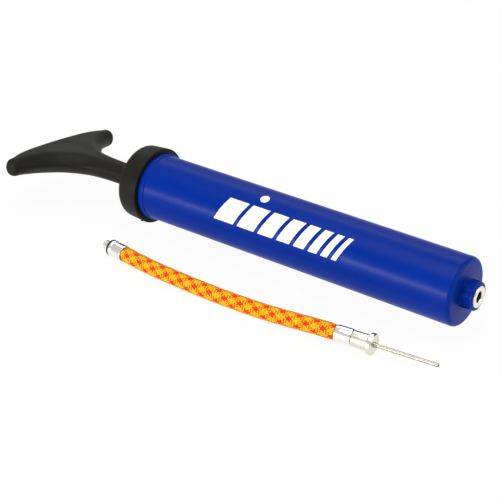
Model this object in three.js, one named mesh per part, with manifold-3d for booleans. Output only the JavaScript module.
// Ball inflation pump: a barrel with a T-handled plunger, and its hose and needle beside it.
// Millimetres, +Z up. The barrel lies along X with its nozzle towards +X, and the origin is at
// the middle of the pump's length, on the surface that the pump lies on.
import * as THREE from 'three';
import { mergeVertices } from 'three/addons/utils/BufferGeometryUtils.js';
import Module from 'manifold-3d';

// ---------------------------------------------------------------- driving dimensions
const gap = 0.3;                 // between pieces that are pressed or screwed together
const slideFit = 0.15;           // between the barrel's bore and what slides in it

// Barrel, with the nozzle boss moulded on its end wall
const barrelRadius = 19;
const barrelLength = 215.6;
const barrelWall = 1.8;
const endWall = 3.5;
const endFillet = 2.4;
const collarHeight = 0.7;
const collarLength = 3.4;
const bossWall = 1.1;            // round the insert's head
const bossLipHeight = 0.5;
const bossLipLength = 1.8;
const bossLength = 7.0;
const bossRibCount = 4;
const bossRibWidth = 1.6;

// Threaded metal insert in the nozzle
const nozzleBoreRadius = 2.95;
const insertWall = 1.65;
const insertHeadHeight = 1.4;
const insertHeadLength = 1.8;
const insertStandOut = 0.6;
const insertChamfer = 0.6;
const boreChamfer = 0.4;

// Cap over the barrel's open end
const capLength = 15;
const capFloor = 2.4;
const capBackWall = 2.0;
const capRimWall = 3.2;
const capRounding = 4.5;

// Plunger rod, and the bush and bumper that it slides through
const rodRadius = 4;
const rodWall = 1;
const bushWall = 1.6;
const bushFlangeHeight = 2.6;
const bushFlangeLength = 1.6;
const bumperWall = 3.7;
const bumperLength = 3.0;

// Piston
const pistonRestGap = 1.5;       // from the barrel's end wall when the plunger is pushed home
const pistonClearance = 0.5;     // all round, in the barrel's bore
const frontPlateLength = 4.0;
const frontPlateSlots = 6;
const slotWidth = 4;
const sealSection = 1.5;         // radius of the O-ring's round section
const sealFloat = 1.6;           // how far the O-ring slides in its groove
const sealRestGap = 0.05;        // from the flange that it seals on
const sealAirPath = 0.85;        // between the O-ring and the hub that it floats on
const pistonFlangeLength = 2.4;
const guideRingLength = 4.0;
const guideRingWall = 2.15;
const guideRingSplit = 1.5;
const tailWall = 2.7;
const tailLength = 9.6;
const rodSeatDepth = 14;
const screwRadius = 1.5;
const screwLength = 20;
const screwHeadHeight = 1.5;
const screwHeadLength = 1.9;
const screwHeadChamfer = 0.5;
const washerWall = 2.0;
const washerLength = 0.6;
const plugLength = 15;

// Handle: one moulding, a neck that spreads into two swept arms. Distances along it are from
// the cap's back face, and distances across it are from the barrel's axis.
const handleThickness = 13.4;
const handleFlat = 1.0;          // of the thickness, between its two rounded faces
const handleRoll = -8.5;         // degrees about the barrel's axis, as it was left
const neckWall = 2.1;            // round the rod at the neck's end
const neckFlare = 1.4;           // how much the neck's half width grows before it spreads
const neckFlareAt = 24;
const neckSpreadPull = [12, 1.2];    // how the curve from neck to arm leaves the neck
const armSpreadPull = [2.5, 18.7];   // and how it reaches the arm
const armTipRadius = 5.5;
const armTipFlat = 0.3;          // left in the middle of each rounded tip
const armTipAt = 62;
const armReach = 39.2;
const armTipTurn = 14;           // degrees that the palm's curve turns each tip by
const armTipLead = 1.0;          // of straight edge before each tip's rounding
const palmAt = 71.3;
const neckClearance = 0.6;
const rodSocketDepth = 28;

// Hose set: a braided hose, a connector for the nozzle at one end, a needle at the other
const hoseRadius = 4.3;
const hoseCoverWall = 1.2;
const linerWall = 1.4;
const linerTail = 6;             // of the bare liner inside each ferrule
const hoseSides = 12;
const hoseSteps = 16;
const ferruleHeight = 0.4;       // over the hose
const pumpFerruleLength = 10.0;
const needleFerruleLength = 9.3;
const stemRadius = 1.0;
const stemLength = 10;
const airwayRadius = 0.6;
const connectorThreadLength = 5.5;
const connectorChamfer = 0.4;
const connectorSealLength = 1.0;
const socketHeight = 0.1;        // over the hose
const socketLength = 8.6;
const needleThreadRadius = 2.4;
const needleThreadLength = 6.1;
const needleWasherWall = 0.7;
const needleWasherLength = 0.7;
const hubFlangeHeight = 1.5;     // over the socket
const hubLength = 3.0;
const hubChamfer = 0.6;
const needleRadius = 1.0;
const needleWall = 0.4;
const needleTaper = 0.5;
const needleLength = 35.5;       // from the hub's face to the tip

// The hose's route, from the pump-end ferrule to the needle-end ferrule
const hoseRoute = [
  [-46.65, -49.70, 4.70], [-37.31, -50.95, 4.66], [-28.17, -51.90, 4.50], [-19.04, -52.55, 4.38],
  [-9.9, -53.03, 4.35], [-0.76, -53.41, 4.35], [8.37, -53.70, 4.35], [17.51, -53.80, 4.35],
  [26.64, -53.75, 4.35], [35.78, -53.46, 4.35], [44.92, -53.03, 4.36], [54.05, -52.48, 4.50],
  [63.19, -51.79, 4.85], [72.32, -51.01, 5.30], [81.46, -50.17, 5.70], [87.55, -49.63, 5.86],
  [94.05, -49.15, 5.90],
];
const connectorHeading = 180 - 7.5;   // degrees about Z, the way the connector points
const needleHeading = 4.8;

// ---------------------------------------------------------------- places along the pump, and its fits
// x = 0 is the barrel's flat end face, and the handle is towards -x.
const boreRadius = barrelRadius - barrelWall;
const capSkirtRadius = barrelRadius + gap;
const capBackRadius = capSkirtRadius + capBackWall;
const capRimRadius = capSkirtRadius + capRimWall;
const capFloorInside = -(barrelLength + gap);
const capBack = capFloorInside - capFloor;
const capRim = capBack + capLength;
const nozzleFace = bossLength + insertStandOut;
const insertRadius = nozzleBoreRadius + insertWall;
const insertHeadRadius = insertRadius + insertHeadHeight;
const bossBoreRadius = insertHeadRadius + gap;
const bossRadius = bossBoreRadius + bossWall;
const bossLipRadius = bossRadius + bossLipHeight;
const rodBoreRadius = rodRadius + gap;
const pistonRadius = boreRadius - pistonClearance;
const slidingRadius = boreRadius - slideFit;
const sealHubRadius = slidingRadius - 2 * sealSection - sealAirPath;
const guideRingInside = slidingRadius - guideRingWall;
const pistonFront = -(endWall + pistonRestGap);
const frontPlateBack = pistonFront - frontPlateLength;
const sealSeat = frontPlateBack - 2 * sealSection - sealFloat;
const ringGrooveFront = sealSeat - pistonFlangeLength;
const ringGrooveBack = ringGrooveFront - guideRingLength - 2 * gap;
const pistonBack = ringGrooveBack - pistonFlangeLength;
const tailBack = pistonBack - tailLength;
const rodSeat = tailBack + rodSeatDepth;
const handleFront = capBack - neckClearance;
const palm = capBack - palmAt;
const rodBack = handleFront - rodSocketDepth + gap;
const axisHeight = capRimRadius;
const pumpMiddle = (nozzleFace + palm) / 2;
const handleRounding = armTipRadius - armTipFlat;

// ---------------------------------------------------------------- materials
const finish = (color, roughness, metalness) =>
  new THREE.MeshStandardMaterial({ color, roughness, metalness });
const bluePlastic = finish(0x0a2a9a, 0.28, 0);
const blackPlastic = finish(0x2b2a25, 0.55, 0);
const whitePlastic = finish(0xe4e2d8, 0.45, 0);
const blackRubber = finish(0x151515, 0.8, 0);
const nickel = finish(0xd8d6cc, 0.22, 1);
const steel = finish(0xb9bcc0, 0.3, 1);
const hoseBraid = finish(0xe0a91c, 0.8, 0);

// ---------------------------------------------------------------- shape helpers
const wideSides = 48;
const sides = 36;
const fineSides = 24;

const wasm = await Module();
wasm.setup();

const solidOf = (geometry) => {
  const bare = geometry.clone();
  bare.deleteAttribute('normal');
  bare.deleteAttribute('uv');
  const merged = mergeVertices(bare, 1e-4);
  return new wasm.Manifold(new wasm.Mesh({
    numProp: 3,
    vertProperties: Float32Array.from(merged.attributes.position.array),
    triVerts: Uint32Array.from(merged.index.array),
  }));
};

const geometryOf = (solid) => {
  const mesh = solid.getMesh();
  const geometry = new THREE.BufferGeometry();
  geometry.setAttribute('position', new THREE.BufferAttribute(mesh.vertProperties, 3));
  geometry.setIndex(new THREE.BufferAttribute(mesh.triVerts, 1));
  return geometry;
};

const cut = (geometry, tools) =>
  geometryOf(tools.reduce((left, tool) => left.subtract(solidOf(tool)), solidOf(geometry)));

// A turned piece: its outline is [along X, radius] pairs, given towards -X on the outside first.
const turned = (outline, around = sides) => {
  const points = outline.map(([along, radius]) => new THREE.Vector2(radius, along));
  const hollow = outline[0][1] > 0;
  if (hollow) points.push(points[0].clone());
  const geometry = new THREE.LatheGeometry(points, around);
  geometry.rotateZ(-Math.PI / 2);
  return facingOut(geometry);
};

// Turns every triangle round where the shape came out inside out.
const facingOut = (geometry) => {
  const p = geometry.attributes.position;
  const order = geometry.index.array;
  const corner = (i) => new THREE.Vector3().fromBufferAttribute(p, order[i]);
  let volume = 0;
  for (let i = 0; i < order.length; i += 3) {
    volume += corner(i).dot(corner(i + 1).cross(corner(i + 2)));
  }
  if (volume < 0) {
    for (let i = 0; i < order.length; i += 3) [order[i], order[i + 1]] = [order[i + 1], order[i]];
  }
  return geometry;
};

// A quarter round from [along, radius] points: centre, size, and start and end angle in degrees.
const arc = (along, radius, size, from, to, steps = 4) =>
  Array.from({ length: steps + 1 }, (_, i) => {
    const angle = THREE.MathUtils.degToRad(from + ((to - from) * i) / steps);
    return [along + size * Math.cos(angle), radius + size * Math.sin(angle)];
  });

const cylinder = (front, back, radius, around) =>
  turned([[front, 0], [front, radius], [back, radius], [back, 0]], around);

const ring = (front, back, outer, inner, around) =>
  turned([[front, outer], [back, outer], [back, inner], [front, inner]], around);

const root = new THREE.Group();
const pump = new THREE.Group();
pump.position.set(-pumpMiddle, 0, axisHeight);
root.add(pump);

const add = (group, name, geometry, material) => {
  const mesh = new THREE.Mesh(geometry, material);
  mesh.name = name;
  group.add(mesh);
  return mesh;
};

// ---------------------------------------------------------------- barrel and nozzle
function barrel() {
  const insertSeat = insertRadius + gap;
  const headSeatBack = nozzleFace - insertHeadLength - gap;
  const collarBack = capRim + gap;
  const collarFront = collarBack + collarLength;
  const collarRadius = barrelRadius + collarHeight;
  const shell = turned([
    [bossLength, bossBoreRadius], [bossLength, bossLipRadius],
    [bossLength - bossLipLength, bossLipRadius], [bossLength - bossLipLength, bossRadius],
    [0, bossRadius],
    ...arc(-endFillet, barrelRadius - endFillet, endFillet, 0, 90),
    [collarFront, barrelRadius], [collarFront - collarHeight, collarRadius],
    [collarBack, collarRadius], [collarBack, barrelRadius],
    [-barrelLength, barrelRadius], [-barrelLength, boreRadius],
    [-endWall, boreRadius], [-endWall, insertSeat],
    [headSeatBack, insertSeat], [headSeatBack, bossBoreRadius],
  ], wideSides);
  const ribLength = bossLength - bossLipLength;
  const ribs = Array.from({ length: bossRibCount }, (_, i) => {
    const rib = new THREE.BoxGeometry(ribLength + bossWall, bossRibWidth, bossWall + bossLipHeight);
    rib.translate(ribLength / 2, 0, (bossLipRadius + bossBoreRadius) / 2);
    rib.rotateX((i * 2 * Math.PI) / bossRibCount + Math.PI / 4);
    return rib;
  });
  const joined = ribs.reduce((whole, rib) => whole.add(solidOf(rib)), solidOf(shell));
  add(pump, 'barrel', geometryOf(joined), bluePlastic);
}

function nozzleInsert() {
  add(pump, 'nozzle_insert', turned([
    [nozzleFace, nozzleBoreRadius + boreChamfer], [nozzleFace, insertHeadRadius - insertChamfer],
    [nozzleFace - insertChamfer, insertHeadRadius], [nozzleFace - insertHeadLength, insertHeadRadius],
    [nozzleFace - insertHeadLength, insertRadius], [-endWall, insertRadius],
    [-endWall, nozzleBoreRadius], [nozzleFace - boreChamfer, nozzleBoreRadius],
  ]), nickel);
}

// ---------------------------------------------------------------- cap, bush and bumper
const bushRadius = rodBoreRadius + bushWall;

function endCap() {
  add(pump, 'end_cap', turned([
    [capRim, capSkirtRadius], [capRim, capRimRadius],
    ...arc(capBack + capRounding, capBackRadius - capRounding, capRounding, 90, 180),
    [capBack, bushRadius + gap], [capFloorInside, bushRadius + gap],
    [capFloorInside, capSkirtRadius],
  ], wideSides), blackPlastic);
}

function guideBush() {
  const flangeBack = capFloorInside + gap;
  const flangeFront = flangeBack + bushFlangeLength;
  const flangeRadius = bushRadius + bushFlangeHeight;
  add(pump, 'guide_bush', turned([
    [flangeFront, flangeRadius], [flangeBack, flangeRadius], [flangeBack, bushRadius],
    [capBack, bushRadius], [capBack, rodBoreRadius], [flangeFront, rodBoreRadius],
  ]), whitePlastic);
  const bumperBack = flangeFront + gap;
  const bumperFront = bumperBack + bumperLength;
  const bumper = ring(bumperFront, bumperBack, rodBoreRadius + bumperWall, rodBoreRadius);
  add(pump, 'bumper_ring', bumper, blackRubber);
}

// ---------------------------------------------------------------- piston
const washerSeat = pistonFront - screwHeadLength - gap - washerLength - gap;
const shankHole = screwRadius + gap;
const washerRadius = shankHole + washerWall;

function pistonFrontPlate() {
  const plate = turned([
    [pistonFront, washerRadius + gap], [pistonFront, pistonRadius], [frontPlateBack, pistonRadius],
    [frontPlateBack, shankHole], [washerSeat, shankHole], [washerSeat, washerRadius + gap],
  ]);
  const slotDepth = pistonRadius - sealHubRadius;
  const slots = Array.from({ length: frontPlateSlots }, (_, i) => {
    const slot = new THREE.BoxGeometry(2 * frontPlateLength, slotWidth, slotDepth);
    slot.translate(pistonFront - frontPlateLength / 2, 0, pistonRadius);
    slot.rotateX((i * 2 * Math.PI) / frontPlateSlots);
    return slot;
  });
  add(pump, 'piston_front_plate', cut(plate, slots), whitePlastic);
}

function pistonBody() {
  const front = frontPlateBack - gap;
  const tailRadius = rodBoreRadius + tailWall;
  const guideRingGrooveRadius = guideRingInside - gap;
  add(pump, 'piston_body', turned([
    [front, shankHole], [front, sealHubRadius], [sealSeat, sealHubRadius], [sealSeat, pistonRadius],
    [ringGrooveFront, pistonRadius], [ringGrooveFront, guideRingGrooveRadius],
    [ringGrooveBack, guideRingGrooveRadius], [ringGrooveBack, pistonRadius],
    [pistonBack, pistonRadius], [pistonBack, tailRadius], [tailBack, tailRadius],
    [tailBack, rodBoreRadius], [rodSeat, rodBoreRadius], [rodSeat, shankHole],
  ]), whitePlastic);
}

function pistonSeal() {
  const across = slidingRadius - sealSection;
  const along = sealSeat + sealSection + sealRestGap;
  const seal = turned(arc(along, across, sealSection, 0, 324, 9));
  add(pump, 'piston_o_ring', seal, blackRubber);
}

// A split ring: a C-shaped outline drawn looking along the barrel's axis.
function pistonGuideRing() {
  const half = guideRingSplit / 2 / slidingRadius;
  const shape = new THREE.Shape();
  shape.absarc(0, 0, slidingRadius, half, 2 * Math.PI - half, false);
  shape.absarc(0, 0, guideRingInside, 2 * Math.PI - half, half, true);
  const split = new THREE.ExtrudeGeometry(shape,
    { depth: guideRingLength, bevelEnabled: false, curveSegments: sides / 2 });
  split.rotateY(Math.PI / 2);
  split.translate(ringGrooveBack + gap, 0, 0);
  add(pump, 'piston_guide_ring', split, whitePlastic);
}

function pistonFasteners() {
  const headRadius = screwRadius + screwHeadHeight;
  const headBack = pistonFront - screwHeadLength;
  const washerFront = headBack - gap;
  add(pump, 'piston_screw', turned([
    [pistonFront, 0], [pistonFront, headRadius - screwHeadChamfer],
    [pistonFront - screwHeadChamfer, headRadius], [headBack, headRadius],
    [headBack, screwRadius], [headBack - screwLength, screwRadius], [headBack - screwLength, 0],
  ], fineSides), steel);
  const washer = ring(washerFront, washerFront - washerLength, washerRadius, shankHole, fineSides);
  add(pump, 'piston_washer', washer, steel);
}

// ---------------------------------------------------------------- rod and handle
function rod() {
  const front = rodSeat - gap;
  const inside = rodRadius - rodWall;
  add(pump, 'plunger_rod', ring(front, rodBack, rodRadius, inside, fineSides), steel);
  const plug = ring(front, front - plugLength, inside - gap, shankHole, fineSides);
  add(pump, 'rod_plug', plug, steel);
}

// The handle's outline seen from above, with x away from the cap and y across the barrel.
function handleOutline() {
  const neckRadius = rodBoreRadius + neckWall;
  const flareRadius = neckRadius + neckFlare;
  const armInside = armTipAt - armTipRadius;
  const neckStart = neckClearance - handleRounding - 2 * gap;
  const turn = THREE.MathUtils.degToRad(armTipTurn);
  const palmStart = armTipAt + armTipRadius * Math.cos(turn);
  const palmSide = armReach + armTipRadius * Math.sin(turn);
  const leaveNeck = [neckFlareAt + neckSpreadPull[0], flareRadius + neckSpreadPull[1]];
  const reachArm = [armInside - armSpreadPull[0], armReach - armTipLead - armSpreadPull[1]];
  const shape = new THREE.Shape();
  shape.moveTo(neckStart, -neckRadius);
  shape.lineTo(neckStart, neckRadius);
  shape.lineTo(neckFlareAt, flareRadius);
  shape.bezierCurveTo(...leaveNeck, ...reachArm, armInside, armReach - armTipLead);
  shape.absarc(armTipAt, armReach, armTipRadius, Math.PI, turn, true);
  shape.quadraticCurveTo(palmAt, armReach / 2, palmAt, 0);
  shape.quadraticCurveTo(palmAt, -armReach / 2, palmStart, -palmSide);
  shape.absarc(armTipAt, -armReach, armTipRadius, -turn, -Math.PI, true);
  shape.lineTo(armInside, armTipLead - armReach);
  shape.bezierCurveTo(reachArm[0], -reachArm[1], leaveNeck[0], -leaveNeck[1],
    neckFlareAt, -flareRadius);
  shape.lineTo(neckStart, -neckRadius);
  return shape;
}

function handle() {
  const moulding = new THREE.ExtrudeGeometry(handleOutline(), {
    depth: handleFlat, curveSegments: 8, bevelSegments: 4,
    bevelThickness: (handleThickness - handleFlat) / 2,
    bevelSize: handleRounding, bevelOffset: -handleRounding,
  });
  moulding.translate(0, 0, -handleFlat / 2);
  moulding.rotateZ(Math.PI);
  moulding.translate(capBack, 0, 0);
  const overrun = 2 * handleRounding;
  const neckTrim = new THREE.BoxGeometry(overrun, 2 * armReach, 2 * handleThickness);
  neckTrim.translate(handleFront + overrun / 2, 0, 0);
  const socketFloor = handleFront - rodSocketDepth;
  const socket = cylinder(handleFront + overrun, socketFloor, rodBoreRadius, fineSides);
  const mesh = add(pump, 'handle', cut(moulding, [neckTrim, socket]), blackPlastic);
  mesh.rotation.x = THREE.MathUtils.degToRad(handleRoll);
}

// ---------------------------------------------------------------- hose
const heading = (degrees) => {
  const angle = THREE.MathUtils.degToRad(degrees);
  return new THREE.Vector3(Math.cos(angle), Math.sin(angle), 0);
};
const routePoints = hoseRoute.map((point) => new THREE.Vector3(...point));
const pumpEnd = routePoints[0];
const needleEnd = routePoints[routePoints.length - 1];

const polygon = (radius) => Array.from({ length: hoseSides }, (_, i) => {
  const angle = (2 * Math.PI * (i + 0.5)) / hoseSides;
  return new THREE.Vector2(radius * Math.cos(angle), radius * Math.sin(angle));
});

function tubeAlong(points, outer, inner) {
  const section = new THREE.Shape(polygon(outer));
  section.holes.push(new THREE.Path(polygon(inner).reverse()));
  const extrudePath = new THREE.CatmullRomCurve3(points);
  return new THREE.ExtrudeGeometry(section, { steps: hoseSteps, extrudePath });
}

const linerRadius = hoseRadius - hoseCoverWall - gap;
const linerBore = linerRadius - linerWall;
const ferruleBore = linerRadius + gap;
const ferruleRadius = hoseRadius + ferruleHeight;
const connectorThreadRadius = nozzleBoreRadius - gap;
const shankRadius = ferruleBore - gap;

function hose() {
  add(root, 'hose_braid', tubeAlong(routePoints, hoseRadius, hoseRadius - hoseCoverWall), hoseBraid);
  const towardsPump = heading(connectorHeading);
  const towardsNeedle = heading(needleHeading);
  const past = (point, direction, far) => point.clone().addScaledVector(direction, far);
  const linerPoints = [
    past(pumpEnd, towardsPump, linerTail), past(pumpEnd, towardsPump, linerTail / 2),
    ...routePoints,
    past(needleEnd, towardsNeedle, linerTail / 2), past(needleEnd, towardsNeedle, linerTail),
  ];
  add(root, 'hose_liner', tubeAlong(linerPoints, linerRadius, linerBore), blackRubber);
}

// A group whose +x runs from an end of the hose along the fittings there.
function fittingsAt(point, degrees) {
  const group = new THREE.Group();
  group.position.copy(point);
  group.rotation.z = THREE.MathUtils.degToRad(degrees);
  root.add(group);
  return group;
}

function pumpEndFittings() {
  const group = fittingsAt(pumpEnd, connectorHeading);
  const ferruleEnd = gap + pumpFerruleLength;
  const sealFace = ferruleEnd + gap + connectorSealLength;
  const shankBack = linerTail + gap;
  const tip = sealFace + connectorThreadLength;
  add(group, 'ferrule_pump_end', ring(ferruleEnd, gap, ferruleRadius, ferruleBore), nickel);
  add(group, 'hose_connector', turned([
    [tip, airwayRadius], [tip, connectorThreadRadius - connectorChamfer],
    [tip - connectorChamfer, connectorThreadRadius],
    [ferruleEnd + gap, connectorThreadRadius], [ferruleEnd + gap, shankRadius],
    [shankBack, shankRadius], [shankBack, stemRadius],
    [linerTail - stemLength, stemRadius], [linerTail - stemLength, airwayRadius],
  ], fineSides), nickel);
  const seal = ring(sealFace, ferruleEnd + gap, ferruleRadius, connectorThreadRadius + gap);
  add(group, 'connector_seal', seal, blackRubber);
}

function needleEndFittings() {
  const group = fittingsAt(needleEnd, needleHeading);
  const ferruleEnd = gap + needleFerruleLength;
  const socketBack = ferruleEnd + gap;
  const socketMouth = socketBack + socketLength;
  const shankBack = linerTail + gap;
  const hubBack = socketMouth + gap;
  const threadEnd = hubBack - needleThreadLength;
  const threadBore = needleThreadRadius + gap;
  const washerBack = hubBack - gap - needleWasherLength;
  const washerSeatBack = washerBack - gap;
  const washerRadius = threadBore + needleWasherWall;
  const washerBore = washerRadius + gap;
  const socketRadius = hoseRadius + socketHeight;
  add(group, 'ferrule_needle_end', ring(ferruleEnd, gap, ferruleRadius, ferruleBore), nickel);
  add(group, 'hose_socket', turned([
    [socketMouth, washerBore], [socketMouth, socketRadius], [socketBack, socketRadius],
    [socketBack, shankRadius], [shankBack, shankRadius],
    [shankBack, stemRadius], [linerTail - stemLength, stemRadius],
    [linerTail - stemLength, airwayRadius], [threadEnd - gap, airwayRadius],
    [threadEnd - gap, threadBore], [washerSeatBack, threadBore], [washerSeatBack, washerBore],
  ], fineSides), nickel);
  const washer = ring(hubBack - gap, washerBack, washerRadius, threadBore, fineSides);
  add(group, 'needle_washer', washer, blackRubber);
  const hubFace = hubBack + hubLength;
  const hubRadius = socketRadius + hubFlangeHeight;
  const needleSeat = needleRadius + gap;
  add(group, 'needle_hub', turned([
    [hubFace, needleSeat], [hubFace, hubRadius - hubChamfer], [hubFace - hubChamfer, hubRadius],
    [hubBack + hubChamfer, hubRadius], [hubBack, hubRadius - hubChamfer],
    [hubBack, needleThreadRadius], [threadEnd, needleThreadRadius], [threadEnd, needleSeat],
  ], fineSides), nickel);
  const tip = hubFace + needleLength;
  const needleBack = threadEnd + gap;
  const needleBoreRadius = needleRadius - needleWall;
  add(group, 'needle_tube', turned([
    [tip, needleBoreRadius], [tip - needleTaper, needleRadius], [needleBack, needleRadius],
    [needleBack, needleBoreRadius],
  ], fineSides), steel);
}

barrel();
nozzleInsert();
endCap();
guideBush();
pistonFrontPlate();
pistonBody();
pistonSeal();
pistonGuideRing();
pistonFasteners();
rod();
handle();
hose();
pumpEndFittings();
needleEndFittings();

export default root;
